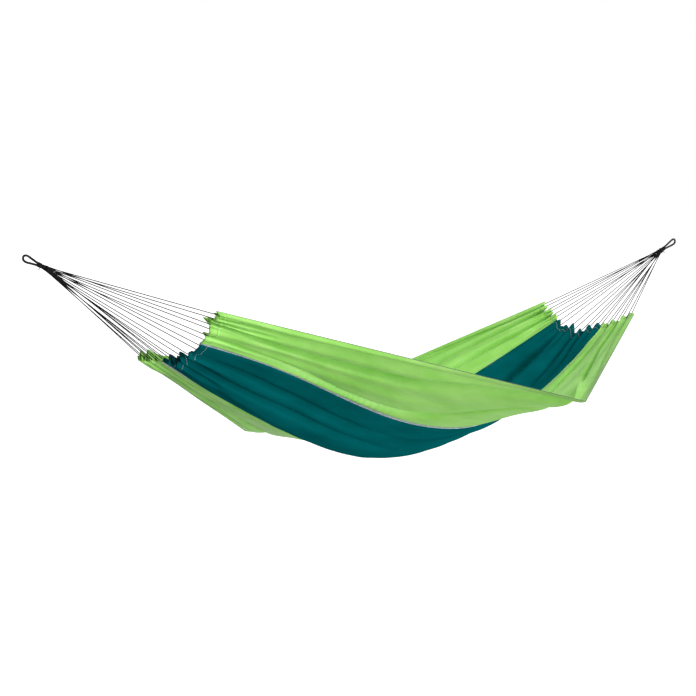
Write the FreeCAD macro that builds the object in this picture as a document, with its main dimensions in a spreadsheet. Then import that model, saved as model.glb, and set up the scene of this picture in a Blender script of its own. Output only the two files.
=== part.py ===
"""Travel hammock, hung level between two hooks, as a parametric FreeCAD document.

Frame: millimetres, origin at the inner end of the left eye, where a hook bears.
+X runs to the right eye, +Z is up, and -Y is the near side.
"""
import FreeCAD, Part
import math
import os
from FreeCAD import Vector

LINES = ("near_edge", "near_seam", "centre", "far_seam", "far_edge")
ACROSS = (0.0, 1 / 3, 1 / 2, 2 / 3, 1.0)

# alias, value in millimetres (or degrees, or a plain ratio), meaning
DIMENSIONS = [
    ("rope_diameter", 6.0, "rope of the end eyes"),
    ("eye_inner_width", 10.0, "clear width of an eye"),
    ("left_eye_reach", 66.0, "left knot centre to the inner end of its eye"),
    ("right_eye_reach", 80.0, "right knot centre to the inner end of its eye"),
    ("left_eye_tilt", 21.0, "left eye above the horizontal, degrees"),
    ("right_eye_tilt", 22.0, "right eye above the horizontal, degrees"),
    ("neck_length", 14.0, "whipped neck beyond the knot"),
    ("leg_gap", 0.1, "between the two legs of an eye in its neck"),
    ("whipping_wall", 0.8, "whipping twine round the neck"),
    ("left_knot_radius", 6.0, "gathering knot of the left end"),
    ("right_knot_radius", 8.0, "gathering knot of the right end"),
    ("socket_gap", 0.4, "clearance round a gathering knot"),
    ("knot_span", 2626.0, "centre to centre of the two knots"),
    ("cord_diameter", 2.4, "suspension cord"),
    ("cord_pitch", 2.7, "spacing of the cords where they are gathered"),
    ("cord_bend", 0.45, "bend radius of a cord's turn over its short run"),
    ("bight_share", 0.4, "width of a bight over its share of the hem"),
    ("hem_length", 30.0, "depth of the cord channel"),
    ("hem_thickness", 10.0, "gathered cloth round the cords"),
    ("panel_thickness", 2.0, "cloth panel"),
    ("edge_hem_width", 20.0, "folded long edge"),
    ("tape_width", 8.0, "seam tape"),
    ("trim_thickness", 3.2, "seam tape and edge hem"),
    ("seam_gap", 0.4, "between a panel and the trim beside it"),
]

# the cloth's five lengthwise lines at its left end, its middle and its right end:
# x of the two edges, then y and z of every line
CLOTH = {
    "left": ((530, 500), (-135, -80, -10, 45, 130), (-145, -228, -270, -280, -270)),
    "middle": ((1385, 1400), (-680, -265, -10, 180, 620), (-400, -493, -595, -580, -560)),
    "right": ((2280, 2245), (-190, -80, 5, 85, 130), (-210, -250, -260, -235, -180)),
}

# how each line eases from the middle to its end: 1 is straight, more is a fuller belly,
# and a sway lifts its outer half and lowers its inner half
BELLY = {
    "left_drop": (1.0, 1.35, 1.65, 1.35, 1.0),
    "left_spread": (1.0, 1.3, 1.1, 1.1, 1.0),
    "left_sway": (0.0, 0.06, 0.02, 0.0, 0.0),
    "right_drop": (1.0, 1.62, 1.85, 1.1, 1.0),
    "right_spread": (1.0, 1.35, 1.15, 1.1, 1.0),
    "right_sway": (0.0, 0.0, 0.0, 0.0, 0.0),
}

for place, (edges_x, lines_y, lines_z) in CLOTH.items():
    for line, value in zip(("near_edge", "far_edge"), edges_x):
        DIMENSIONS.append((f"{place}_{line}_x", float(value), f"{line} at the {place}, x"))
    for axis, values in (("y", lines_y), ("z", lines_z)):
        for line, value in zip(LINES, values):
            DIMENSIONS.append((f"{place}_{line}_{axis}", float(value), f"{line} at the {place}, {axis}"))
for belly, values in BELLY.items():
    for line, value in zip(LINES, values):
        DIMENSIONS.append((f"{belly}_{line}", value, f"{belly} of the {line}"))

doc = FreeCAD.newDocument("Hammock")
sheet = doc.addObject("Spreadsheet::Sheet", "Dimensions")
for row, (alias, value, meaning) in enumerate(DIMENSIONS, start=1):
    sheet.set(f"A{row}", str(value))
    sheet.setAlias(f"A{row}", alias)
    sheet.set(f"B{row}", meaning)
doc.recompute()


def size(alias):
    """A dimension from the sheet."""
    return float(sheet.get(alias))


def bind(obj, **cells):
    """Tie properties of an object to expressions on the sheet's cells."""
    for prop, expression in cells.items():
        obj.setExpression(prop, expression)
    return obj


def cell(alias):
    return f"Dimensions.{alias}"


# ---------------------------------------------------------------- the cloth's shape

def across(values, t):
    """Smooth value at t from one value per lengthwise line (cubic Hermite)."""
    span = max(i for i in range(len(ACROSS) - 1) if ACROSS[i] <= t or i == 0)

    def slope(i):
        low, high = max(i - 1, 0), min(i + 1, len(ACROSS) - 1)
        return (values[high] - values[low]) / (ACROSS[high] - ACROSS[low])

    width = ACROSS[span + 1] - ACROSS[span]
    u = (t - ACROSS[span]) / width
    return ((1 + 2 * u) * (1 - u) ** 2 * values[span] + u ** 2 * (3 - 2 * u) * values[span + 1]
            + u * (1 - u) ** 2 * width * slope(span) - u ** 2 * (1 - u) * width * slope(span + 1))


def eased(s, t, axis, way):
    """One coordinate of the cloth between its middle and the end that s points to."""
    end = "left" if s < 0 else "right"
    middle, tip = (across([size(f"{place}_{line}_{axis}") for line in LINES], t)
                   for place in ("middle", end))
    power = across([size(f"{end}_{way}_{line}") for line in LINES], t)
    share = abs(s) ** power
    if way == "drop":
        sway = across([size(f"{end}_sway_{line}") for line in LINES], t)
        share -= sway * math.sin(2 * math.pi * abs(s))
    return middle + (tip - middle) * share


def edge_x(s, line):
    end = "left" if s < 0 else "right"
    middle, tip = (size(f"{place}_{line}_x") for place in ("middle", end))
    return middle + (tip - middle) * abs(s)


def cloth_point(s, t):
    """Point of the cloth: s runs from -1, left end, to 1, right end, and t across.

    Every section lies in the upright plane through the two edges at that s.
    """
    y, z = eased(s, t, "y", "spread"), eased(s, t, "z", "drop")
    near_y, far_y = eased(s, 0.0, "y", "spread"), eased(s, 1.0, "y", "spread")
    near_x, far_x = edge_x(s, "near_edge"), edge_x(s, "far_edge")
    return Vector(near_x + (far_x - near_x) * (y - near_y) / (far_y - near_y), y, z)


def cloth_rate(s, t):
    """Millimetres of section per unit of t."""
    step = 0.002
    low, high = max(t - step, 0.0), min(t + step, 1.0)
    return (cloth_point(s, high) - cloth_point(s, low)).Length / (high - low)


def cloth_normal(s, t):
    """Unit normal of the section at (s, t), on the underside."""
    step = 0.01
    low, high = max(t - step, 0.0), min(t + step, 1.0)
    along_section = cloth_point(s, high) - cloth_point(s, low)
    chord = cloth_point(s, 1.0) - cloth_point(s, 0.0)
    lengthwise = Vector(chord.y, -chord.x, 0).normalize()
    return along_section.cross(lengthwise).normalize() * -1


# ---------------------------------------------------------------- strips of cloth

def strip_wire(s, low, high, thickness, steps=5):
    """Closed outline of a strip's section; low and high are (t, shift in millimetres)."""
    start, stop = (t + shift / cloth_rate(s, t) for t, shift in (low, high))
    fractions = [start + (stop - start) * i / steps for i in range(steps + 1)]
    half = thickness / 2
    under = [cloth_point(s, t) + cloth_normal(s, t) * half for t in fractions]
    top = [cloth_point(s, t) - cloth_normal(s, t) * half for t in fractions]
    edges = []
    for points in (under, top):
        curve = Part.BSplineCurve()
        curve.interpolate(points)
        edges.append(curve.toShape())
    edges.insert(1, Part.makeLine(under[-1], top[-1]))
    edges.append(Part.makeLine(top[0], under[0]))
    return Part.Wire(Part.__sortEdges__(edges))


def loft(name, stations, low, high, thickness, ruled=False):
    """Loft of one strip through its stations along the cloth."""
    sections = []
    for number, s in enumerate(stations, start=1):
        section = doc.addObject("Part::Feature", f"{name}_section_{number}")
        section.Shape = strip_wire(s, low, high, size(thickness))
        sections.append(section)
    body = doc.addObject("Part::Loft", name)
    body.Sections = sections
    body.Solid = True
    body.Ruled = ruled
    return body


HALF_LENGTH = (cloth_point(-1, 0.0) - cloth_point(0, 0.0)).Length
HEM_SHARE = size("hem_length") / HALF_LENGTH
PANEL_END = 1 - HEM_SHARE
SPACING = (1.0, 0.72, 0.45, 0.2, 0.0)

parts = []


def keep(obj, label):
    obj.Label = label
    parts.append(obj)
    return obj


def lengthwise_strip(label, low, high, thickness):
    """A strip that runs from hem to hem, made as a left and a right half."""
    halves = [loft(f"{label}_{side}", [sign * PANEL_END * x for x in SPACING], low, high, thickness)
              for side, sign in (("left_half", -1), ("right_half", 1))]
    whole = doc.addObject("Part::MultiFuse", f"{label}_strip")
    whole.Shapes = halves
    return keep(whole, label)


near, far = 1 / 3, 2 / 3
edge, tape, gap = size("edge_hem_width"), size("tape_width") / 2, size("seam_gap")
lengthwise_strip("near_edge_hem", (0.0, 0.0), (0.0, edge), "trim_thickness")
lengthwise_strip("near_panel", (0.0, edge + gap), (near, -tape - gap), "panel_thickness")
lengthwise_strip("near_seam_tape", (near, -tape), (near, tape), "trim_thickness")
lengthwise_strip("centre_panel", (near, tape + gap), (far, -tape - gap), "panel_thickness")
lengthwise_strip("far_seam_tape", (far, -tape), (far, tape), "trim_thickness")
lengthwise_strip("far_panel", (far, tape + gap), (1.0, -edge - gap), "panel_thickness")
lengthwise_strip("far_edge_hem", (1.0, -edge), (1.0, 0.0), "trim_thickness")


# ---------------------------------------------------------------- ropes and cords

def rounded_route(points, radius_ratio, name):
    """Straight runs joined by tangent arcs; each radius follows its shorter run."""
    edges, start = [], points[0]
    for i in range(1, len(points) - 1):
        into, out = points[i] - points[i - 1], points[i + 1] - points[i]
        turn = into.getAngle(out)
        setback = radius_ratio * min(into.Length, out.Length)
        into.normalize()
        out.normalize()
        first, last = points[i] - into * setback, points[i] + out * setback
        radius = setback / math.tan(turn / 2)
        to_centre = (out - into).normalize()
        centre = points[i] + to_centre * (radius / math.cos(turn / 2))
        crown = centre - to_centre * radius
        edges.append(Part.LineSegment(start, first).toShape())
        edges.append(Part.Arc(first, crown, last).toShape())
        print(f"{name}: bend {i} radius {radius:.1f} mm")
        start = last
    edges.append(Part.LineSegment(start, points[-1]).toShape())
    return Part.Wire(edges)


def sweep(name, wire, diameter):
    """A round rope along a wire; its radius is half the diameter cell."""
    route = doc.addObject("Part::Feature", f"{name}_route")
    route.Shape = wire
    circle = doc.addObject("Part::Circle", f"{name}_circle")
    bind(circle, Radius=f"{cell(diameter)} / 2")
    first = wire.OrderedEdges[0]
    direction = first.tangentAt(first.FirstParameter)
    circle.Placement = FreeCAD.Placement(
        wire.OrderedVertexes[0].Point, FreeCAD.Rotation(Vector(0, 0, 1), direction))
    rope = doc.addObject("Part::Sweep", f"{name}_rope")
    rope.Sections = [circle]
    rope.Spine = (route, [f"Edge{i}" for i in range(1, len(wire.Edges) + 1)])
    rope.Solid = True
    rope.Frenet = False
    return rope


def subtract(name, base, tool):
    cut = doc.addObject("Part::Cut", name)
    cut.Base = base
    cut.Tool = tool
    return cut


def gather_frame(side, sign):
    """Centre of a gathering knot, and the outward and upward directions there."""
    tilt = math.radians(size(f"{side}_eye_tilt"))
    outward = Vector(sign * math.cos(tilt), 0, math.sin(tilt))
    upward = Vector(-sign * math.sin(tilt), 0, math.cos(tilt))
    hang, reach = math.radians(size("left_eye_tilt")), size("left_eye_reach")
    centre = Vector(reach * math.cos(hang), 0, -reach * math.sin(hang))
    if side == "right":
        centre.x += size("knot_span")
    return centre, outward, upward


def ball(name, centre, radius):
    sphere = doc.addObject("Part::Sphere", name)
    bind(sphere, Radius=radius)
    sphere.Placement.Base = centre
    return sphere


def end_hardware(side, sign):
    """Gathering knot, rope eye and whipped neck of one end."""
    centre, outward, upward = gather_frame(side, sign)
    knot_radius = cell(f"{side}_knot_radius")
    socket_radius = f"{knot_radius} + {cell('socket_gap')}"
    keep(ball(f"{side}_knot", centre, knot_radius), f"{side}_gather_knot")

    leg = (size("rope_diameter") + size("leg_gap")) / 2
    neck_end = size("neck_length") + size(f"{side}_knot_radius")
    tip = size(f"{side}_eye_reach") + size("rope_diameter") / 2
    crown = (size("eye_inner_width") + size("rope_diameter")) / 2
    upper = [centre + outward * along + upward * above
             for along, above in ((0.0, leg), (neck_end, leg), (tip, crown))]
    lower = [centre + outward * along - upward * above
             for along, above in ((tip, crown), (neck_end, leg), (0.0, leg))]
    rope = sweep(f"{side}_eye", rounded_route(upper + lower, 0.49, f"{side}_eye"), "rope_diameter")
    eye = subtract(f"{side}_eye_cut", rope, ball(f"{side}_eye_socket", centre, socket_radius))
    keep(eye, f"{side}_end_loop")

    sleeve = doc.addObject("Part::Cylinder", f"{side}_sleeve")
    bind(sleeve, Height=f"{cell('neck_length')} + {knot_radius}",
         Radius=f"{cell('rope_diameter')} + {cell('leg_gap')} / 2 + {cell('whipping_wall')}")
    sleeve.Placement = FreeCAD.Placement(centre, FreeCAD.Rotation(Vector(0, 0, 1), outward))
    hollow = subtract(f"{side}_sleeve_hollow", sleeve, rope)
    neck = subtract(f"{side}_neck", hollow, ball(f"{side}_neck_socket", centre, socket_radius))
    keep(neck, f"{side}_neck_whipping")


# cords in each column where they are gathered; the hem's near half fills its columns downwards
COLUMNS = (2, 4, 4, 4, 4, 2)
BIGHTS = {"near": 3, "centre": 4, "far": 3}


def gathered_points(side, sign):
    """Where the cords leave the knot, in order from the near side to the far side."""
    centre, outward, upward = gather_frame(side, sign)
    face = centre - outward * (size(f"{side}_knot_radius") + size("socket_gap"))
    pitch = size("cord_pitch")
    points = []
    for column, rows in enumerate(COLUMNS):
        sideways = (column - (len(COLUMNS) - 1) / 2) * pitch
        heights = [((rows - 1) / 2 - row) * pitch for row in range(rows)]
        if column >= len(COLUMNS) / 2:
            heights.reverse()
        points += [face + Vector(0, sideways, 0) + upward * height for height in heights]
    return points


def rigging(side, sign):
    """Ten bights of cord and the three hem channels that they run through."""
    starts = iter(gathered_points(side, sign))
    inside = sign * (1 - HEM_SHARE / 2)
    number = 0
    for panel, (name, count) in enumerate(BIGHTS.items()):
        cords = []
        for bight in range(count):
            number += 1
            turns = [(panel + (bight + 0.5 + way * size("bight_share") / 2) / count) / 3
                     for way in (-1, 1)]
            inner = [cloth_point(inside, t) for t in turns]
            route = [next(starts), inner[0], inner[1], next(starts)]
            label = f"{side}_cord_{number:02d}"
            wire = rounded_route(route, size("cord_bend"), label)
            cord = sweep(f"{label}_run", wire, "cord_diameter")
            cords.append(keep(cord, label))
        channel = loft(f"{side}_{name}_band", [sign, sign * PANEL_END], (panel / 3, 0.0),
                       ((panel + 1) / 3, 0.0), "hem_thickness", ruled=True)
        bundle = doc.addObject("Part::Compound", f"{side}_{name}_bundle")
        bundle.Links = cords
        keep(subtract(f"{side}_{name}_channel", channel, bundle), f"{side}_{name}_hem_channel")


for side, sign in (("left", -1), ("right", 1)):
    end_hardware(side, sign)
    rigging(side, sign)

doc.recompute()


# ---------------------------------------------------------------- checks and export

for obj in doc.Objects:
    if "Invalid" in obj.State or "Error" in obj.State:
        raise RuntimeError(f"{obj.Label} did not build: {obj.State}")
for obj in parts:
    if obj.Shape.isNull() or not obj.Shape.isValid() or obj.Shape.Volume <= 0:
        raise RuntimeError(f"{obj.Label} has no valid solid")
    if "_cord_" in obj.Label:
        run = obj.Spine[0].Shape.Length
        expected = run * math.pi * size("cord_diameter") ** 2 / 4
        print(f"{obj.Label}: length {run:.1f} mm, volume {obj.Shape.Volume / expected:.4f} of its route")

os.makedirs("parts", exist_ok=True)
for obj in parts:
    obj.Shape.exportStep(f"parts/{obj.Label}.step")
print(f"{len(parts)} parts")
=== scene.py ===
"""Looks of the travel hammock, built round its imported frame. Metres, in the frame's axes."""

import math

import bpy
import numpy as np
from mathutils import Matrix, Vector
from mathutils.noise import noise as noise_at


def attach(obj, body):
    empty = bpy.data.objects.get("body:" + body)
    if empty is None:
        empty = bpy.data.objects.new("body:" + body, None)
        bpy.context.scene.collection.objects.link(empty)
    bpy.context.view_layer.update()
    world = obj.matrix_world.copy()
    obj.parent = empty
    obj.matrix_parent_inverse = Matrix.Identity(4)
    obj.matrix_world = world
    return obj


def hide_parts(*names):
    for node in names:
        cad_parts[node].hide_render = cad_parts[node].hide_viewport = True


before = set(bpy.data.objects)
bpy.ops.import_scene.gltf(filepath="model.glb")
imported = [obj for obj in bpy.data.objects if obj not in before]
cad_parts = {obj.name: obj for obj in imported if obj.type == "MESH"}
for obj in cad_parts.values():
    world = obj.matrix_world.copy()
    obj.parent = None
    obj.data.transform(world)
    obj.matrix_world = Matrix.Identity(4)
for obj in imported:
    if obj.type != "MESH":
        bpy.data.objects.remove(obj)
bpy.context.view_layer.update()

MM = 0.001
SIDES = (("left", -1), ("right", 1))
PANELS = ("near", "centre", "far")
COLOURS = {"near": "green", "centre": "teal", "far": "green"}
THREADS = {"near": "green_thread", "centre": "white_thread", "far": "green_thread"}
BIGHTS = (3, 4, 3)

# driving dimensions of the frame, in metres; an eye has its reach from the knot and its tilt
EYE = {"left": (0.066, math.radians(21)), "right": (0.080, math.radians(22))}
KNOT_SPAN = 2.626
KNOT_R = {"left": 0.006, "right": 0.008}
KNOT_CORD, CORD_LAY = {"left": 0.0019, "right": 0.0026}, 0.010
ROPE_D, EYE_WIDTH, NECK, CORD_D, CORD_PITCH = 0.006, 0.010, 0.014, 0.0024, 0.0027
SOCKET_GAP = 0.0004
# how wide a bight's turn is beside its share of the hem, and how many legs each column holds
BIGHT_SHARE = 0.4
COLUMNS = (2, 4, 4, 4, 4, 2)
HEM_LENGTH = 0.030
PANEL_WIDTH, CLOTH_LENGTH = 0.45, 2.1

# the cloth's five lengthwise lines: x of the two edges, then y and z of every line
LINES_T = np.array((0.0, 1 / 3, 1 / 2, 2 / 3, 1.0))
CLOTH = {
    "left": ((0.530, 0.500), (-0.135, -0.080, -0.010, 0.045, 0.130),
             (-0.145, -0.228, -0.270, -0.280, -0.270)),
    "middle": ((1.385, 1.400), (-0.680, -0.265, -0.010, 0.180, 0.620),
               (-0.400, -0.493, -0.595, -0.580, -0.560)),
    "right": ((2.280, 2.245), (-0.190, -0.080, 0.005, 0.085, 0.130),
              (-0.210, -0.250, -0.260, -0.235, -0.180)),
}
# how each line eases from the middle to its end: 1 is straight, more is a fuller belly,
# and a sway lifts its outer half and lowers its inner half
DROP = {"left": (1.0, 1.35, 1.65, 1.35, 1.0), "right": (1.0, 1.62, 1.85, 1.1, 1.0)}
SPREAD = {"left": (1.0, 1.3, 1.1, 1.1, 1.0), "right": (1.0, 1.35, 1.15, 1.1, 1.0)}
SWAY = {"left": (0.0, 0.06, 0.02, 0.0, 0.0), "right": (0.0, 0.0, 0.0, 0.0, 0.0)}


# ---------------------------------------------------------------- the cloth's middle surface

def hermite(knots, values, x):
    """Smooth value at x from one value per knot (cubic Hermite)."""
    v, last = np.asarray(values, float), len(knots) - 1
    i = np.clip(np.searchsorted(knots, x, side="right") - 1, 0, last - 1)
    low, high = np.maximum(np.arange(last + 1) - 1, 0), np.minimum(np.arange(last + 1) + 1, last)
    slope = (v[high] - v[low]) / (knots[high] - knots[low])
    width = knots[i + 1] - knots[i]
    u = (x - knots[i]) / width
    return ((1 + 2 * u) * (1 - u) ** 2 * v[i] + u ** 2 * (3 - 2 * u) * v[i + 1]
            + u * (1 - u) ** 2 * width * slope[i] - u ** 2 * (1 - u) * width * slope[i + 1])


def across(values, t):
    """Value at t from one value per lengthwise line."""
    return hermite(LINES_T, values, t)


def end_of(s):
    """The end that a section belongs to."""
    return "left" if s < 0 else "right"


def section(s, t):
    """Points of the cloth's smooth section at s (-1 left hem, 1 right hem), for an array of t."""
    end, reach = end_of(s), abs(s)
    (x0, x1), ys, zs = CLOTH["middle"]
    (end_x0, end_x1), end_ys, end_zs = CLOTH[end]
    y0, z0 = across(ys, t), across(zs, t)
    y = y0 + (across(end_ys, t) - y0) * reach ** across(SPREAD[end], t)
    z = z0 + (across(end_zs, t) - z0) * (reach ** across(DROP[end], t)
                                         - across(SWAY[end], t)
                                         * math.sin(2 * math.pi * reach))
    near_y, far_y = (ys[k] + (end_ys[k] - ys[k]) * reach for k in (0, -1))
    near_x, far_x = x0 + (end_x0 - x0) * reach, x1 + (end_x1 - x1) * reach
    return np.stack([near_x + (far_x - near_x) * (y - near_y) / (far_y - near_y), y, z], -1)


def cloth_point(s, t):
    """One point of the smooth surface; t runs from 0 at the near edge to 1 at the far one."""
    return section(s, np.array([t]))[0]


HALF_LENGTH = float(np.linalg.norm(cloth_point(-1, 0.0) - cloth_point(0, 0.0)))
HEM_SHARE = HEM_LENGTH / HALF_LENGTH


# ---------------------------------------------------------------- camera

def make_camera():
    """The viewpoint: low, off the near side and left end, looking along on the slant."""
    azimuth, elevation, distance = math.radians(-47.7), math.radians(3.39), 7.167
    target = Vector((1.183, 0.0, -0.274))
    look = Vector((-math.sin(azimuth) * math.cos(elevation),
                   math.cos(azimuth) * math.cos(elevation), -math.sin(elevation)))
    data = bpy.data.cameras.new("camera")
    data.sensor_width, data.lens = 36.0, 132.1
    camera = bpy.data.objects.new("camera", data)
    camera.location = target - look * distance
    camera.rotation_euler = look.to_track_quat("-Z", "Y").to_euler()
    bpy.context.collection.objects.link(camera)
    bpy.context.scene.camera = camera


# ---------------------------------------------------------------- materials

def new_material(name, roughness, sheen=0.0, specular=0.3, tint=(1, 1, 1)):
    """A material, its nodes and links, and its shader with its plain values set."""
    mat = bpy.data.materials.new(name)
    mat.use_nodes = True
    nodes, links = mat.node_tree.nodes, mat.node_tree.links
    shader = nodes["Principled BSDF"]
    shader.inputs["Roughness"].default_value = roughness
    shader.inputs["Sheen Weight"].default_value = sheen
    shader.inputs["Specular IOR Level"].default_value = specular
    shader.inputs["Specular Tint"].default_value = (*tint, 1)
    shader.inputs["Sheen Tint"].default_value = (*tint, 1)
    return mat, nodes, links, shader


def ramp(nodes, links, source, stops):
    """Colour output of a ramp over source; stops are pairs of position and colour."""
    node = nodes.new("ShaderNodeValToRGB")
    elements = node.color_ramp.elements
    elements[0].position, elements[0].color = stops[0][0], (*stops[0][1], 1)
    elements[1].position, elements[1].color = stops[-1][0], (*stops[-1][1], 1)
    for position, colour in stops[1:-1]:
        elements.new(position).color = (*colour, 1)
    links.new(source, node.inputs["Fac"])
    return node.outputs["Color"]


def noise(nodes, links, coordinates, scale, detail):
    """Output of a noise texture."""
    node = nodes.new("ShaderNodeTexNoise")
    node.inputs["Scale"].default_value = scale
    node.inputs["Detail"].default_value = detail
    links.new(coordinates, node.inputs["Vector"])
    return node.outputs["Fac"]


def mapped(nodes, links, scale):
    """Object coordinates, scaled."""
    coordinates = nodes.new("ShaderNodeTexCoord")
    mapping = nodes.new("ShaderNodeMapping")
    mapping.inputs["Scale"].default_value = scale
    links.new(coordinates.outputs["Object"], mapping.inputs["Vector"])
    return mapping.outputs["Vector"]


def woven_cloth(name, dark, middle, light, glow, sheen, specular, tint):
    """Light plain-woven nylon: a fine weave, soft lengthwise creases and uneven colour."""
    mat, nodes, links, shader = new_material(name, 0.5, sheen, specular, tint)
    shader.inputs["Sheen Roughness"].default_value = 0.45
    plain = mapped(nodes, links, (1, 1, 1))
    lengthwise = mapped(nodes, links, (1.2, 14, 14))
    tone = nodes.new("ShaderNodeMix")
    tone.data_type = "FLOAT"
    tone.inputs[0].default_value = 0.45
    links.new(noise(nodes, links, plain, 4.0, 5.0), tone.inputs[2])
    links.new(noise(nodes, links, lengthwise, 1.6, 5.0), tone.inputs[3])
    links.new(ramp(nodes, links, tone.outputs[0], ((0.32, dark), (0.5, middle), (0.68, light))),
              shader.inputs["Base Color"])
    threads = []
    for axis in ("X", "Z"):
        wave = nodes.new("ShaderNodeTexWave")
        wave.bands_direction = axis
        wave.inputs["Scale"].default_value = 420.0
        links.new(plain, wave.inputs["Vector"])
        threads.append(wave.outputs["Fac"])
    weave = nodes.new("ShaderNodeMath")
    weave.operation = "MULTIPLY"
    links.new(threads[0], weave.inputs[0])
    links.new(threads[1], weave.inputs[1])
    creases = nodes.new("ShaderNodeBump")
    creases.inputs["Strength"].default_value = 0.35
    creases.inputs["Distance"].default_value = 0.004
    links.new(noise(nodes, links, mapped(nodes, links, (5, 40, 40)), 1.0, 4.0),
              creases.inputs["Height"])
    bump = nodes.new("ShaderNodeBump")
    bump.inputs["Strength"].default_value = 0.25
    bump.inputs["Distance"].default_value = 0.0003
    links.new(weave.outputs[0], bump.inputs["Height"])
    links.new(creases.outputs["Normal"], bump.inputs["Normal"])
    links.new(bump.outputs["Normal"], shader.inputs["Normal"])
    # thin nylon lets some light through
    through = nodes.new("ShaderNodeBsdfTranslucent")
    through.inputs["Color"].default_value = (*glow, 1)
    mix = nodes.new("ShaderNodeMixShader")
    mix.inputs[0].default_value = 0.08
    links.new(shader.outputs[0], mix.inputs[1])
    links.new(through.outputs[0], mix.inputs[2])
    links.new(mix.outputs[0], nodes["Material Output"].inputs["Surface"])
    return mat


def twisted_fibre(name, dark, light, sheen=0.2, specular=0.3, scale=900.0):
    """Rope, cord and thread: fine fibres with a dusty variation."""
    mat, nodes, links, shader = new_material(name, 0.75, sheen, specular)
    plain = mapped(nodes, links, (1, 1, 1))
    dust = noise(nodes, links, plain, 120.0, 6.0)
    links.new(ramp(nodes, links, dust, ((0.35, dark), (0.7, light))),
              shader.inputs["Base Color"])
    bump = nodes.new("ShaderNodeBump")
    bump.inputs["Strength"].default_value = 0.5
    bump.inputs["Distance"].default_value = 0.0003
    links.new(noise(nodes, links, plain, scale, 2.0), bump.inputs["Height"])
    links.new(bump.outputs["Normal"], shader.inputs["Normal"])
    return mat


WHITE = (1, 1, 1)
BLACK = (0.002, 0.002, 0.003)
MATERIALS = {
    "green": woven_cloth("green_nylon", (0.18, 0.52, 0.055), (0.27, 0.61, 0.110),
                         (0.35, 0.68, 0.165), glow=(0.36, 0.90, 0.12),
                         sheen=0.12, specular=0.25, tint=WHITE),
    "teal": woven_cloth("teal_nylon", (0.0002, 0.060, 0.064), (0.0003, 0.085, 0.090),
                        (0.0005, 0.110, 0.118), glow=(0.0, 0.10, 0.11),
                        sheen=0.06, specular=0.0, tint=(0.0, 0.65, 0.70)),
    "tape": twisted_fibre("grey_tape", (0.11, 0.15, 0.20), (0.22, 0.26, 0.33)),
    "white_thread": twisted_fibre("white_thread", (0.55, 0.60, 0.62), (0.85, 0.88, 0.90)),
    "green_thread": twisted_fibre("green_thread", (0.22, 0.48, 0.08), (0.40, 0.68, 0.20)),
    "olive_thread": twisted_fibre("olive_thread", (0.055, 0.085, 0.045), (0.13, 0.17, 0.10)),
    "rope": twisted_fibre("black_rope", BLACK, (0.012, 0.012, 0.014), 0.02, 0.12, 600.0),
    "twine": twisted_fibre("black_twine", BLACK, (0.010, 0.010, 0.011), 0.02, 0.10),
    "cord": twisted_fibre("black_cord", BLACK, (0.012, 0.012, 0.013), 0.02, 0.08),
}


# ---------------------------------------------------------------- mesh helpers

def place(obj, material, body, replaces=()):
    """Finish a piece: link it, dress it, and say what it rides on and stands for."""
    if obj.name not in bpy.context.collection.objects:
        bpy.context.collection.objects.link(obj)
    obj.data.materials.append(MATERIALS[material])
    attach(obj, body)
    if replaces:
        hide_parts(*replaces)
    return obj


def mesh_object(name, points, faces, smooth=True):
    """A mesh object from points and faces, not yet linked to the scene."""
    mesh = bpy.data.meshes.new(name)
    mesh.from_pydata([tuple(p) for p in points], [], [tuple(int(i) for i in f) for f in faces])
    mesh.update()
    if smooth:
        mesh.polygons.foreach_set("use_smooth", [True] * len(mesh.polygons))
    return bpy.data.objects.new(name, mesh)


def grid_faces(rows, columns, first=0, wrap=False):
    """Quads over a grid of points; wrap joins its last column to its first."""
    i, j = np.meshgrid(np.arange(rows - 1), np.arange(columns if wrap else columns - 1),
                       indexing="ij")
    after = (j + 1) % columns
    quads = np.stack([i * columns + j, i * columns + after, (i + 1) * columns + after,
                      (i + 1) * columns + j], -1)
    return quads.reshape(-1, 4) + first


def band(name, points, normals, thickness):
    """Closed band: a grid of points given a thickness that may vary over the grid."""
    rows, columns = points.shape[:2]
    offset = normals * (np.broadcast_to(thickness, (rows, columns)) / 2)[..., None]
    count = rows * columns
    corners = np.concatenate([(points + offset).reshape(-1, 3), (points - offset).reshape(-1, 3)])
    under = grid_faces(rows, columns)
    top = grid_faces(rows, columns, count)[:, ::-1]
    index = np.arange(count).reshape(rows, columns)
    rim = np.concatenate([index[0, :], index[1:, -1], index[-1, -2::-1], index[-2:0:-1, 0]])
    following = np.roll(rim, -1)
    sides = np.stack([following, rim, rim + count, following + count], -1)
    return mesh_object(name, corners, np.concatenate([under, top, sides]))


def frames_along(path):
    """Tangent and two steady cross directions at each point of a path."""
    tangent = np.gradient(path, axis=0)
    tangent /= np.linalg.norm(tangent, axis=1)[:, None]
    start = np.cross(tangent[0], (0.3, 0.9, 0.2))
    side = [start / np.linalg.norm(start)]
    for direction in tangent[1:]:
        moved = side[-1] - direction * np.dot(side[-1], direction)
        side.append(moved / np.linalg.norm(moved))
    side = np.array(side)
    return tangent, side, np.cross(tangent, side)


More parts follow.
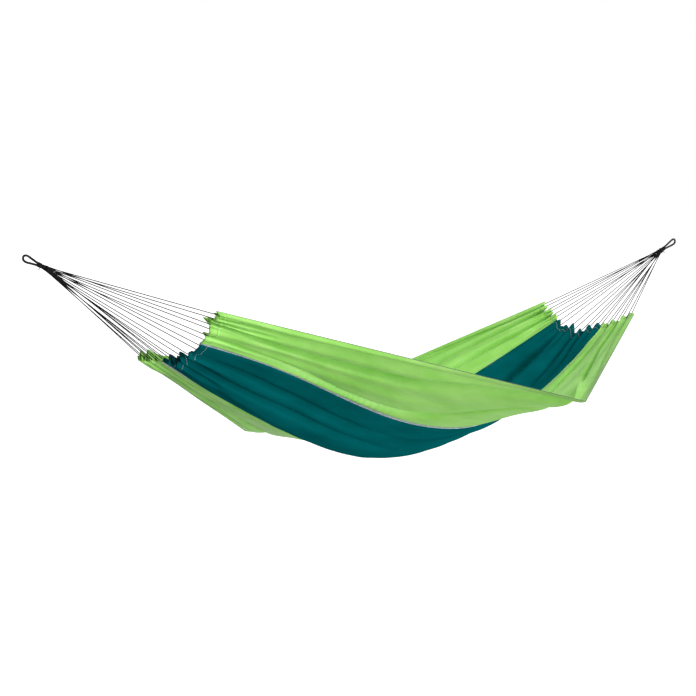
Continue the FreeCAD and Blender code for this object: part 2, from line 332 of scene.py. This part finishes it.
def tube(path, radius, sides, strands=0, lay=0.02, depth=0.12):
    """Points and faces of a rope along a path; strands are helical lobes on its surface."""
    path = np.asarray(path, float)
    _, side, other = frames_along(path)
    run = np.concatenate([[0], np.cumsum(np.linalg.norm(np.diff(path, axis=0), axis=1))])
    angle = np.arange(sides) * 2 * math.pi / sides
    radii = np.broadcast_to(radius, (len(path),))[:, None] * np.ones(sides)
    if strands:
        lobe = np.abs(np.sin((angle[None] - run[:, None] * 2 * math.pi / lay) * strands / 2))
        radii = radii * (1 - depth + depth * lobe)
    points = (path[:, None] + side[:, None] * (radii * np.cos(angle))[..., None]
              + other[:, None] * (radii * np.sin(angle))[..., None])
    corners = np.concatenate([points.reshape(-1, 3), path[:1], path[-1:]])
    faces = [tuple(f) for f in grid_faces(len(path), sides, wrap=True)]
    last, total = (len(path) - 1) * sides, len(path) * sides
    for k in range(sides):
        after = (k + 1) % sides
        faces.append((total, after, k))
        faces.append((total + 1, last + k, last + after))
    return corners, faces


def join(shapes):
    """One list of points and faces from several."""
    points, faces, first = [], [], 0
    for corners, shape_faces in shapes:
        points.append(corners)
        faces += [tuple(i + first for i in face) for face in shape_faces]
        first += len(corners)
    return np.concatenate(points), faces


def smooth_path(points, per_span=12):
    """Catmull-Rom curve through the points."""
    p = np.asarray(points, float)
    p = np.concatenate([[2 * p[0] - p[1]], p, [2 * p[-1] - p[-2]]])
    u = np.linspace(0, 1, per_span, endpoint=False)[:, None]
    spans = [0.5 * (2 * p[i] + (p[i + 1] - p[i - 1]) * u
                    + (2 * p[i - 1] - 5 * p[i] + 4 * p[i + 1] - p[i + 2]) * u ** 2
                    + (3 * p[i] - p[i - 1] - 3 * p[i + 1] + p[i + 2]) * u ** 3)
             for i in range(1, len(p) - 2)]
    return np.concatenate(spans + [p[-2:-1]])


# ---------------------------------------------------------------- ends: where the cords gather

def gather_frame(side, sign):
    """Centre of a gathering knot, and the outward and upward directions there."""
    tilt = EYE[side][1]
    outward = np.array((sign * math.cos(tilt), 0, math.sin(tilt)))
    upward = np.array((-sign * math.sin(tilt), 0, math.cos(tilt)))
    reach, hang = EYE["left"]
    centre = np.array((reach * math.cos(hang), 0, -reach * math.sin(hang)))
    if side == "right":
        centre[0] += KNOT_SPAN
    return centre, outward, upward


def gathered_points(side, sign):
    """Where the cords leave the knot, in order from the near side to the far side."""
    centre, outward, upward = gather_frame(side, sign)
    face = centre - outward * (KNOT_R[side] + SOCKET_GAP)
    points = []
    for column, rows in enumerate(COLUMNS):
        sideways = (column - (len(COLUMNS) - 1) / 2) * CORD_PITCH
        heights = [((rows - 1) / 2 - row) * CORD_PITCH for row in range(rows)]
        if column >= len(COLUMNS) / 2:
            heights.reverse()
        points += [face + np.array((0, sideways, 0)) + upward * height for height in heights]
    return points


def turn_share(count, bight, way):
    """Where a bight enters or leaves its panel's hem, as a share of the panel."""
    return (bight + 0.5 + way * BIGHT_SHARE / 2) / count


def make_cords():
    """Ten bights at each end: out from the knot, through the hem and back, pulled taut."""
    before_turn = 6 * CORD_D  # a cord runs straight to about this far from its hem
    for side, sign in SIDES:
        starts = iter(gathered_points(side, sign))
        inside = sign * (1 - HEM_SHARE / 2)
        number = 0
        for panel, count in enumerate(BIGHTS):
            for bight in range(count):
                number += 1
                leave, back = next(starts), next(starts)
                turn_in, turn_out = (
                    cloth_point(inside, (panel + turn_share(count, bight, way)) / 3)
                    for way in (-1, 1))
                on_way, homeward = (
                    turn + (end - turn) * before_turn / np.linalg.norm(end - turn)
                    for turn, end in ((turn_in, leave), (turn_out, back)))
                route = [leave, on_way, turn_in, turn_out, homeward, back]
                name = f"{side}_cord_{number:02d}"
                data = bpy.data.curves.new(f"{name}_bight", "CURVE")
                data.dimensions = "3D"
                data.bevel_depth, data.bevel_resolution = CORD_D / 2, 2
                data.resolution_u = 12
                data.use_fill_caps = True
                spline = data.splines.new("NURBS")
                spline.points.add(len(route) - 1)
                for point, position in zip(spline.points, route):
                    point.co = (*position, 1.0)
                spline.order_u = 3
                spline.use_endpoint_u = True
                cord = bpy.data.objects.new(f"{name}_bight", data)
                place(cord, "cord", "sling", (name,))


make_camera()
make_cords()


# ---------------------------------------------------------------- ends: eyes, whippings and knots

def eye_route(side, sign):
    """Centre line of an eye: out along the neck, round the loop and back."""
    centre, outward, upward = gather_frame(side, sign)
    leg_gap, socket = 0.0001, 0.001
    leg = (ROPE_D + leg_gap) / 2
    neck_end = NECK + KNOT_R[side]
    tip, crown = EYE[side][0] + ROPE_D / 2, (EYE_WIDTH + ROPE_D) / 2
    # distance from the knot's centre along the eye, and distance from the eye's middle line
    half = ((KNOT_R[side] + socket, leg), (neck_end, leg), (neck_end + 0.006, leg * 1.2),
            ((neck_end + tip) / 2, crown * 0.80), (tip - 0.015, crown),
            (tip - 0.006, crown * 0.90), (tip - 0.0006, crown * 0.40))
    points = [centre + outward * a + upward * b for a, b in half]
    points += [centre + outward * a - upward * b for a, b in reversed(half)]
    return smooth_path(points, 14)


def make_eye(side, sign):
    """Laid rope doubled into an eye, its two legs side by side in the neck."""
    rope = tube(eye_route(side, sign), ROPE_D / 2, sides=30, strands=3, lay=0.026)
    place(mesh_object(f"{side}_rope_eye", *rope), "rope",
          f"{side}_loop", (f"{side}_end_loop",))


def make_whipping(side, sign):
    """Twine wound hard round both legs of the neck, its end left as a short tail."""
    centre, outward, upward = gather_frame(side, sign)
    sideways = np.cross(outward, upward)
    start, end = KNOT_R[side] + 0.001, KNOT_R[side] + NECK - 0.0005
    twine, tail_radius = 0.0011, 0.0009
    turns = (end - start) / twine
    angle = np.linspace(0, 2 * math.pi * turns, int(turns * 30))
    along = np.linspace(start, end, len(angle))
    # an oval: two legs wide, one leg thick
    long_half, short_half = ROPE_D + twine * 0.2, ROPE_D / 2 + twine * 0.4
    path = (centre + outward * along[:, None]
            + upward * (long_half * np.cos(angle) * (1 - 0.06 * np.cos(4 * angle)))[:, None]
            + sideways * (short_half * np.sin(angle)
                          * (1 + 0.10 * np.sin(angle) ** 2))[:, None])
    root = centre + outward * (start + 0.002) - upward * long_half
    tail = [root + upward * 0.002, root, root - upward * 0.004 + outward * 0.0015,
            root - upward * 0.0075 + outward * 0.0035 + sideways * 0.001]
    shapes = [tube(path, twine / 2, sides=7), tube(smooth_path(tail, 6), tail_radius, sides=8)]
    place(mesh_object(f"{side}_neck_twine", *join(shapes)), "twine",
          f"{side}_loop", (f"{side}_neck_whipping",))


def make_knot(side, sign):
    """The gathered cords' knot: a strand core under turns of cord that cross one another."""
    centre, outward, upward = gather_frame(side, sign)
    sideways = np.cross(outward, upward)
    radius, cord = KNOT_R[side], KNOT_CORD[side]

    def at(a, u, s):
        return centre + outward * a + upward * u + sideways * s

    def on_rim(a, turned, sunk):
        """Point on the knot's skin at a along it, sunk into it by a share of the cord."""
        out = radius * math.sqrt(max(1 - (a / radius) ** 2 * 0.75, 0.12)) - cord * sunk
        return at(a, out * math.cos(turned), out * math.sin(turned))

    # core: an egg whose wide end looks to the cords
    steps = np.linspace(-1, 1, 25)
    wide = np.maximum(np.sqrt(np.maximum(1 - steps ** 2, 0)) * radius * (0.80 - 0.10 * steps),
                      0.0002)
    shapes = [tube([at(a * radius * 0.96, 0, 0) for a in steps], wide, sides=28, strands=9,
                   lay=0.3)]
    # turns round the middle, then strands that pass over them on the slant
    turns = 4
    angle = np.linspace(0, 2 * math.pi * turns, 60 * turns)
    along = (np.linspace(-0.62, 0.50, len(angle)) + 0.05 * np.sin(angle * 1.5)) * radius
    wound = [on_rim(a, t, 0.55) for a, t in zip(along, angle)]
    shapes.append(tube(wound, cord / 2, sides=12, strands=5, lay=CORD_LAY, depth=0.14))
    for lean, phase in ((0.95, 0.3), (-0.85, 1.9), (0.7, 3.6), (-1.05, 5.1)):
        loop = [on_rim(radius * 0.64 * math.sin(t) * math.copysign(1, lean),
                       phase + lean * 0.9 * t, 0.4)
                for t in np.linspace(-0.5 * math.pi, 1.05 * math.pi, 40)]
        shapes.append(tube(loop, cord / 2, sides=12, strands=5, lay=CORD_LAY, depth=0.14))
    place(mesh_object(f"{side}_gather_wraps", *join(shapes)), "cord",
          f"{side}_knot", (f"{side}_gather_knot",))
    # two turns seize the cords where they come out of the knot, and move with the cords
    angle = np.linspace(0, 4 * math.pi, 120)
    across_u = CORD_PITCH * 2.0 + CORD_D * 0.3
    across_s = CORD_PITCH * 3.0 + CORD_D * 0.2
    back = -(radius + np.linspace(0.0012, 0.0044, len(angle)))
    turned = [at(b, across_u * math.cos(t) * (1 + 0.15 * math.sin(t) ** 2),
                 across_s * math.sin(t) * (1 - 0.12 * math.cos(t) ** 2))
              for b, t in zip(back, angle)]
    seizing = tube(turned, cord * 0.42, sides=10, strands=4, lay=CORD_LAY)
    place(mesh_object(f"{side}_cord_seizing", *seizing), "cord", "sling")


# ---------------------------------------------------------------- cloth with its gathers

# Lengthwise tucks of each panel. Each has its place across the panel and its depth at nine
# stations from the left hem to the right hem, and then its half width. Places and widths are
# shares of the panel, and the deepest tucks have a depth of 1.
STATIONS = np.linspace(-1, 1, 9)
TUCKS = {
    "near": (((.17, .12, .08, .06, .05, .07, .10, .14, .18),
              (.35, .15, .1, .1, .1, .05, .05, .1, .3), .028),
             ((.33, .46, .38, .19, .10, .20, .34, .42, .46),
              (.6, 1., 1., 1., .9, .5, .5, .6, .7), .026),
             ((.72, .82, .90, .80, .30, .62, .72, .76, .80),
              (.3, .2, .2, .35, .4, .6, .7, .7, .6), .026)),
    "centre": (((.30, .28, .27, .27, .28, .28, .28, .30, .42),
                (.4, .9, 1., .9, .5, .5, .7, .8, .5), .026),
               ((.56, .50, .43, .42, .45, .48, .50, .52, .56),
                (.7, 1., 1., .8, .4, .5, .7, .7, .4), .027),
               ((.80, .76, .74, .74, .74, .74, .75, .76, .80),
                (.7, .9, .8, .6, .3, .5, .8, .8, .5), .026)),
    "far": (((.32, .30, .28, .25, .25, .28, .32, .34, .34),
             (1., .7, .5, .4, .3, .3, .4, .5, .7), .032),
            ((.66, .66, .70, .75, .80, .76, .70, .67, .66),
             (1., .8, .6, .5, .3, .6, .8, .9, 1.), .034),
            ((.88, .90, .91, .93, .94, .92, .90, .87, .86),
             (.5, .4, .3, .2, .1, .3, .5, .6, .6), .026)),
}
# short pleats beside the hems: how many to a panel, how deep, where across it they gather, and
# how far they spread from there
PLEATS = {
    "left": {"near": (7, 0.25, 0.16, 0.22), "centre": (7, 0.70, 0.64, 0.30),
             "far": (6, 0.50, 0.80, 0.34)},
    "right": {"near": (6, 0.12, 0.50, 0.50), "centre": (6, 0.28, 0.50, 0.50),
              "far": (6, 0.20, 0.20, 0.40)},
}
# how far the hem runs out along the cords, in millimetres, at seven places across each panel
HEM_T = np.array((0.0, 0.15, 0.32, 0.50, 0.68, 0.85, 1.0))
HEM_OUT = {
    "left": {"near": (0, -3, 8, 2, -1, 2, 0), "centre": (0, -6, -7, 3, -7, 10, 2),
             "far": (2, 6, -7, 2, -5, 5, 0)},
    "right": {"near": (0, 12, 0, -10, -2, 3, 0), "centre": (0, 9, -4, -10, -1, -9, 0),
              "far": (0, 5, 6, 5, 1, -4, 0)},
}
# what sets one panel's ripples and pleats apart from the next one's
SEEDS = {"near": 0.7, "centre": 2.1, "far": 4.0}


def taken_up(reach):
    """Share of the spare cloth that its folds take up, from mid-length to a hem."""
    beside_hem = np.clip((reach - 0.66) / 0.34, 0, 1)
    finely_gathered = 0.60 * beside_hem ** 2 * (3 - 2 * beside_hem)
    return 0.10 + 0.90 * (1 - (1 - reach) ** 2.8) - finely_gathered


def fold_way(s):
    """Tucks go in towards the left end (1) and out towards the right end (-1)."""
    return math.tanh((0.30 - s) / 0.11)


def fold_profile(panel, s, w):
    """Shape of the folds across one panel: tucks, and short pleats that die out from the hems."""
    reach = abs(s)
    window = np.clip(np.minimum(w, 1 - w) / 0.05, 0, 1)
    window = window * window * (3 - 2 * window)
    way = fold_way(s)
    # between the tucks the cloth bellies the other way
    height = np.full_like(w, -0.10 * way)
    for places, depths, width in TUCKS[panel]:
        centre, depth = hermite(STATIONS, places, s), way * hermite(STATIONS, depths, s)
        wide = width * (1 + 0.3 * (1 - reach))
        height += depth * np.exp(-np.abs((w - centre) / wide) ** 1.25)
    seed = SEEDS[panel] + (1.3 if s < 0 else 0.0)
    count, strength, middle, spread = PLEATS[end_of(s)][panel]
    gather = np.clip((reach - 0.80) / 0.20, 0, 1) ** 1.5 * np.exp(-((w - middle) / spread) ** 4)
    bent = w + 0.018 * np.sin(4 * math.pi * w + seed) + 0.009 * np.sin(10 * math.pi * w + 2 * seed)
    height += strength * gather * np.cos(2 * math.pi * count * bent + seed)
    # slack ripples between the tucks
    height += 0.03 * np.sin(2 * math.pi * (4.3 * w + 1.1 * s) + seed) * (0.4 + 0.6 * reach)
    return height * window


def scallop(panel, s, w):
    """How far the cloth beside a hem runs out along the cords, or draws back between them."""
    ease = np.clip((abs(s) - 0.86) / 0.14, 0, 1) ** 2
    return MM * ease * hermite(HEM_T, HEM_OUT[end_of(s)][panel], w)


def arc_lengths(points):
    """Distance along a polyline at each of its points."""
    return np.concatenate([[0], np.cumsum(np.linalg.norm(np.diff(points, axis=0), axis=1))])


def section_normals(s, t):
    """Unit normals of the smooth section at each t, towards the inside, within its own plane."""
    step = 0.01
    along = section(s, np.minimum(t + step, 1)) - section(s, np.maximum(t - step, 0))
    along /= np.linalg.norm(along, axis=1)[:, None]
    chord = section(s, np.array([0.0, 1.0]))
    plane = np.cross(chord[1] - chord[0], (0, 0, 1.0))
    return np.cross(plane / np.linalg.norm(plane), along)


ROW_CACHE = {}
# the least depth of fold, kept where a section has no cloth to spare, and the deepest tried
SLIGHT_FOLD, DEEPEST_FOLD = 0.007, 0.08
DENSE = 520


def folded_section(panel, s):
    """Points of one panel's folded section, its folds as deep as its spare cloth makes them."""
    key = (panel, round(float(s), 9))
    if key not in ROW_CACHE:
        t = (PANELS.index(panel) + np.linspace(0, 1, DENSE)) / 3
        base, normal = section(s, t), section_normals(s, t)
        arc = arc_lengths(base)
        w = arc / arc[-1]
        shape = normal * fold_profile(panel, s, w)[:, None]
        spare = max(PANEL_WIDTH - arc[-1], 0)
        goal = arc[-1] + taken_up(abs(s)) * fold_way(s) ** 2 * spare
        low, high = 0.0, DEEPEST_FOLD
        for _ in range(20):
            middle = (low + high) / 2
            short = arc_lengths(base + shape * middle)[-1] < goal
            low, high = (middle, high) if short else (low, middle)
        step = 0.02 if s < 0 else -0.02
        along = section(s, t) - section(s + step, t)
        along /= np.linalg.norm(along, axis=1)[:, None]
        low = max(low, SLIGHT_FOLD)
        ROW_CACHE[key] = base + shape * low + along * scallop(panel, s, w)[:, None]
    return ROW_CACHE[key]


def at_distances(points, run, distances):
    """Points at distances along a polyline whose arc lengths are run."""
    return np.stack([np.interp(distances, run, points[:, k]) for k in range(3)], -1)


def panel_grid(panel, rows_s, columns):
    """Grid of points over one panel, evenly spaced along each folded section."""
    share = np.linspace(0, 1, columns)
    grid = []
    for s in rows_s:
        points = folded_section(panel, s)
        run = arc_lengths(points)
        grid.append(at_distances(points, run, share * run[-1]))
    return np.array(grid)


def grid_normals(grid):
    """Unit normals of a grid of points."""
    down, over = np.gradient(grid, axis=0), np.gradient(grid, axis=1)
    normal = np.cross(down, over)
    return normal / np.maximum(np.linalg.norm(normal, axis=-1), 1e-12)[..., None]


# which edges of a panel a seam puckers, and how strongly
PUCKERS = {"near": ((1.0, 1.7),), "centre": ((0.0, 0.3), (1.0, 0.3)), "far": ((0.0, 1.8),)}


def wrinkled(panel, grid, rows_s):
    """The grid with its slack wrinkles, and puckers where a seam pulls the cloth."""
    normal, seed = grid_normals(grid), SEEDS[panel]
    rows, columns = grid.shape[:2]
    height = np.zeros((rows, columns))
    for i, s in enumerate(rows_s):
        for j in range(columns):
            w = j / (columns - 1)
            height[i, j] = (0.0022 * noise_at((s * 5.0, w * 4.5, seed))
                            + 0.0009 * noise_at((s * 16.0 + w * 3, w * 9.0, seed + 5)))
    w = np.linspace(0, 1, columns)[None, :]
    s = np.asarray(rows_s)[:, None]
    for seam, strength in PUCKERS[panel]:
        ripple = np.sin(2 * math.pi * (s * 54 + 0.6 * np.sin(23 * s) + 1.5 * (w - seam)))
        fading = np.exp(-np.abs(w - seam) / 0.055) * (0.55 + 0.45 * np.sin(9 * s))
        height += strength * 0.0011 * ripple * fading
    rim = np.clip(np.minimum(w, 1 - w) / 0.03, 0, 1) * np.clip((1 - np.abs(s)) / 0.08, 0, 1)
    return grid + normal * (height * rim)[..., None]


def sampled(points, distances):
    """Points of a polyline at distances along it; a negative one counts back from its end."""
    run = arc_lengths(points)
    return at_distances(points, run, np.where(distances < 0, run[-1] + distances, distances))


# sections of the panels, and of the trim that runs the cloth's whole length
ROWS = np.linspace(-1, 1, 341) * (1 - HEM_SHARE * 0.98)
LONG_ROWS = np.concatenate([-np.linspace(1, 1 - HEM_SHARE, 8, endpoint=False), ROWS,
                            np.linspace(1 - HEM_SHARE, 1, 9)[1:]])
CLOTH_COLUMNS, HEM_COLUMNS = 116, 260
# stitches: from one to the next, a stitch's length, and its thread's diameter
PITCH, DASH, THREAD_D = 0.0044, 0.0034, 0.0010


def stitches(rows, lift, faces_sewn):
    """Short stitches along rows of points and normals, each a small spindle of thread."""
    starts, ends, ups = [], [], []
    for points, normals in rows:
        run = arc_lengths(points)
        first = np.arange(PITCH / 2, run[-1] - DASH, PITCH)
        for face in faces_sewn:
            raised = points + normals * lift * face
            starts.append(at_distances(raised, run, first))
            ends.append(at_distances(raised, run, first + DASH))
            ups.append(at_distances(normals, run, first))
    start, end, up = (np.concatenate(part) for part in (starts, ends, ups))
    side = np.cross(end - start, up)
    side /= np.maximum(np.linalg.norm(side, axis=1), 1e-12)[:, None]
    rings = []
    for share, size in ((0, 0.35), (0.25, 1.0), (0.75, 1.0), (1, 0.35)):
        middle = start + (end - start) * share
        for a, b in ((1, 0), (0, 1), (-1, 0), (0, -1)):
            rings.append(middle + (side * a + up * b) * THREAD_D * size / 2)
    points = np.stack(rings, 1).reshape(-1, 3)
    # a spindle is four rings of four points, capped at both ends
    spindle = [(r * 4 + k, r * 4 + (k + 1) % 4, (r + 1) * 4 + (k + 1) % 4, (r + 1) * 4 + k)
               for r in range(3) for k in range(4)] + [(3, 2, 1, 0), (12, 13, 14, 15)]
    first = (np.arange(len(start)) * 16)[:, None, None]
    return points, (np.array(spindle)[None] + first).reshape(-1, 4)


def sew(name, rows, lift, thread, faces_sewn=(1, -1)):
    """One piece of stitches along rows of points and normals."""
    sewn = mesh_object(name, *stitches(rows, lift, faces_sewn), smooth=False)
    return place(sewn, thread, "sling")


def strip(*parts):
    """Grid of points on the folded cloth, from pairs of a panel and distances across it.

    A distance counts from the panel's near edge, or from its far edge if it is negative.
    """
    return np.array([np.concatenate([sampled(folded_section(panel, s), np.array(distances))
                                     for panel, distances in parts]) for s in LONG_ROWS])


def make_panels():
    """The body of each panel."""
    cloths = {}
    for panel in PANELS:
        colour = COLOURS[panel]
        grid = wrinkled(panel, panel_grid(panel, ROWS, CLOTH_COLUMNS), ROWS)
        cloth = mesh_object(f"{panel}_cloth", grid.reshape(-1, 3), grid_faces(*grid.shape[:2]))
        place(cloth, colour, "sling", (f"{panel}_panel",))
        cloths[panel] = cloth
    return cloths


def make_hem_channels(pieces):
    """Hem channels, folded over the cords and sewn with two rows."""
    # swollen where the cords pass inside
    swell = np.array((0.0016, 0.0018, 0.0018, 0.0024, 0.0031, 0.0035, 0.0034, 0.0028, 0.0016))
    sewn_rows = (1, 5)
    for side, sign in SIDES:
        for panel in PANELS:
            rows = sign * np.linspace(1 - HEM_SHARE, 1, len(swell))
            grid = panel_grid(panel, rows, HEM_COLUMNS)
            normal = grid_normals(grid)
            hem = band(f"{side}_{panel}_hem", grid, normal, swell[:, None])
            place(hem, COLOURS[panel], "sling", (f"{side}_{panel}_hem_channel",))
            sewn = sew(f"{side}_{panel}_hem_stitches", [(grid[i], normal[i]) for i in sewn_rows],
                       0.0013, THREADS[panel])
            pieces[panel] += [hem, sewn]


def make_seam_tapes(pieces):
    """Tapes over the two seams, on the outside of the cloth and sewn along both edges."""
    outwards, thickness = 0.0009, 0.0012
    for name, before, after in (("near", "near", "centre"), ("far", "centre", "far")):
        grid = strip((before, (-0.0040, -0.0026, -0.0012)),
                     (after, (0.0, 0.0012, 0.0026, 0.0040)))
        normal = grid_normals(grid)
        grid = grid - normal * outwards
        tape = band(f"{name}_seam_binding", grid, normal, thickness)
        place(tape, "tape", "sling", (f"{name}_seam_tape",))
        sewn = sew(f"{name}_seam_stitches", [(grid[:, i], normal[:, i]) for i in (1, 5)],
                   0.0008, "white_thread", faces_sewn=(-1,))
        pieces[before] += [tape, sewn]


def make_long_edges(pieces):
    """The long edges: folded over, sewn with two rows, and overlocked with a dark line."""
    inwards = np.array((0.0, 0.0012, 0.004, 0.008, 0.012, 0.016, 0.0175, 0.019, 0.020))
    thick = np.array((0.0030, 0.0034, 0.0030, 0.0026, 0.0026, 0.0025, 0.0022, 0.0024, 0.0018))
    # a hair below zero, the far edge's own line counts from the far edge too
    overlock_radius, hair = 0.0012, 1e-9
    for name, distances in (("near", inwards), ("far", -inwards - hair)):
        grid = strip((name, distances))
        normal = grid_normals(grid)
        edge = band(f"{name}_edge_fold", grid, normal, thick[None, :])
        place(edge, "green", "sling", (f"{name}_edge_hem",))
        sewn = sew(f"{name}_edge_stitches", [(grid[:, i], normal[:, i]) for i in (6, 2)],
                   0.0013, "green_thread")
        line = mesh_object(f"{name}_edge_overlock", *tube(grid[:, 0], overlock_radius, sides=8))
        place(line, "olive_thread", "sling")
        pieces[name] += [edge, sewn, line]


def make_cloth():
    """The three panels with everything sewn on them."""
    pieces = {panel: [] for panel in PANELS}
    cloths = make_panels()
    make_hem_channels(pieces)
    make_seam_tapes(pieces)
    make_long_edges(pieces)


# ---------------------------------------------------------------- floor, light and background

def make_studio():
    """White floor and surroundings, and two soft suns from the near side, below and above."""
    half, height = 60, -1.6
    corners = [(x * half, y * half, height) for x, y in ((-1, -1), (1, -1), (1, 1), (-1, 1))]
    floor = mesh_object("floor", corners, [(0, 1, 2, 3)], smooth=False)
    bpy.context.collection.objects.link(floor)
    mat, _, _, shader = new_material("pale_floor", 0.9, specular=0.0)
    shader.inputs["Base Color"].default_value = (0.92, 0.92, 0.92, 1)
    shader.inputs["Emission Color"].default_value = (1, 1, 1, 1)
    shader.inputs["Emission Strength"].default_value = 0.45
    floor.data.materials.append(mat)
    # the lower sun shines up past the floor
    floor.visible_diffuse = floor.visible_glossy = floor.visible_shadow = False
    world = bpy.data.worlds.new("studio")
    bpy.context.scene.world = world
    world.use_nodes = True
    nodes, links = world.node_tree.nodes, world.node_tree.links
    lit = nodes["Background"]
    lit.inputs["Strength"].default_value = 1.0
    # dim from below, brighter from above, and plain white where it is seen
    coordinates = nodes.new("ShaderNodeTexCoord")
    split = nodes.new("ShaderNodeSeparateXYZ")
    links.new(coordinates.outputs["Generated"], split.inputs[0])
    stops = ((0.0, (0.30, 0.30, 0.30)), (0.55, (0.52, 0.52, 0.52)))
    links.new(ramp(nodes, links, split.outputs["Z"], stops), lit.inputs["Color"])
    seen = nodes.new("ShaderNodeBackground")
    seen.inputs["Color"].default_value = (1, 1, 1, 1)
    rays, mix = nodes.new("ShaderNodeLightPath"), nodes.new("ShaderNodeMixShader")
    links.new(rays.outputs["Is Camera Ray"], mix.inputs[0])
    links.new(lit.outputs[0], mix.inputs[1])
    links.new(seen.outputs[0], mix.inputs[2])
    links.new(mix.outputs[0], nodes["World Output"].inputs["Surface"])
    for name, direction, spread, strength in (("key", (-0.45, 1.0, 0.45), 24, 3.7),
                                              ("top", (0.05, 0.80, -0.60), 30, 2.5)):
        data = bpy.data.lights.new(name, "SUN")
        data.angle, data.energy = math.radians(spread), strength
        light = bpy.data.objects.new(name, data)
        light.rotation_euler = Vector(direction).to_track_quat("-Z", "Y").to_euler()
        bpy.context.collection.objects.link(light)
    bpy.context.scene.view_settings.view_transform = "Standard"


for side, sign in SIDES:
    make_eye(side, sign)
    make_whipping(side, sign)
    make_knot(side, sign)
make_cloth()
make_studio()
bpy.context.view_layer.update()
